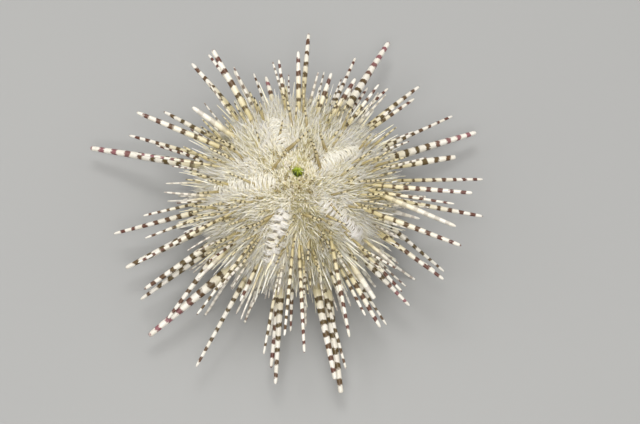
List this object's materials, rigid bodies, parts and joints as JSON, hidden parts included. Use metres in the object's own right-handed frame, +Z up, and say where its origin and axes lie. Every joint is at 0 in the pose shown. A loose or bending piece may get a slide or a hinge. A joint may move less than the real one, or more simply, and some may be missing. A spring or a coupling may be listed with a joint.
{
  "type": "sea urchin",
  "caption": "Life-size still model of a sea urchin with long banded girth spines and a dense coat of short needles, standing on its under spines.",
  "frame": {"origin": "on the floor, under the middle of the box round the whole animal, spines included", "axes": "+Z up from mouth to crown; the picture's bottom edge is towards -Y and its right edge towards +X"},
  "size_m": [0.1056, 0.101, 0.0392],
  "materials": {
    "shell": "matt ivory calcite, spines ringed brown and maroon",
    "crown": "matt olive ivory plates",
    "membrane": "soft tan skin",
    "tooth": "polished white"
  },
  "bodies": {
    "root": {"ambulacrum_1": "shell", "ambulacrum_2": "shell", "ambulacrum_3": "shell", "ambulacrum_4": "shell", "ambulacrum_5": "shell", "interambulacrum_1": "shell", "interambulacrum_2": "shell", "interambulacrum_3": "shell", "interambulacrum_4": "shell", "interambulacrum_5": "shell", "apical_disc": "crown", "periproct": "membrane", "peristome": "membrane", "tooth_1": "tooth", "tooth_2": "tooth", "tooth_3": "tooth", "tooth_4": "tooth", "tooth_5": "tooth"}
  },
  "joints": []
}
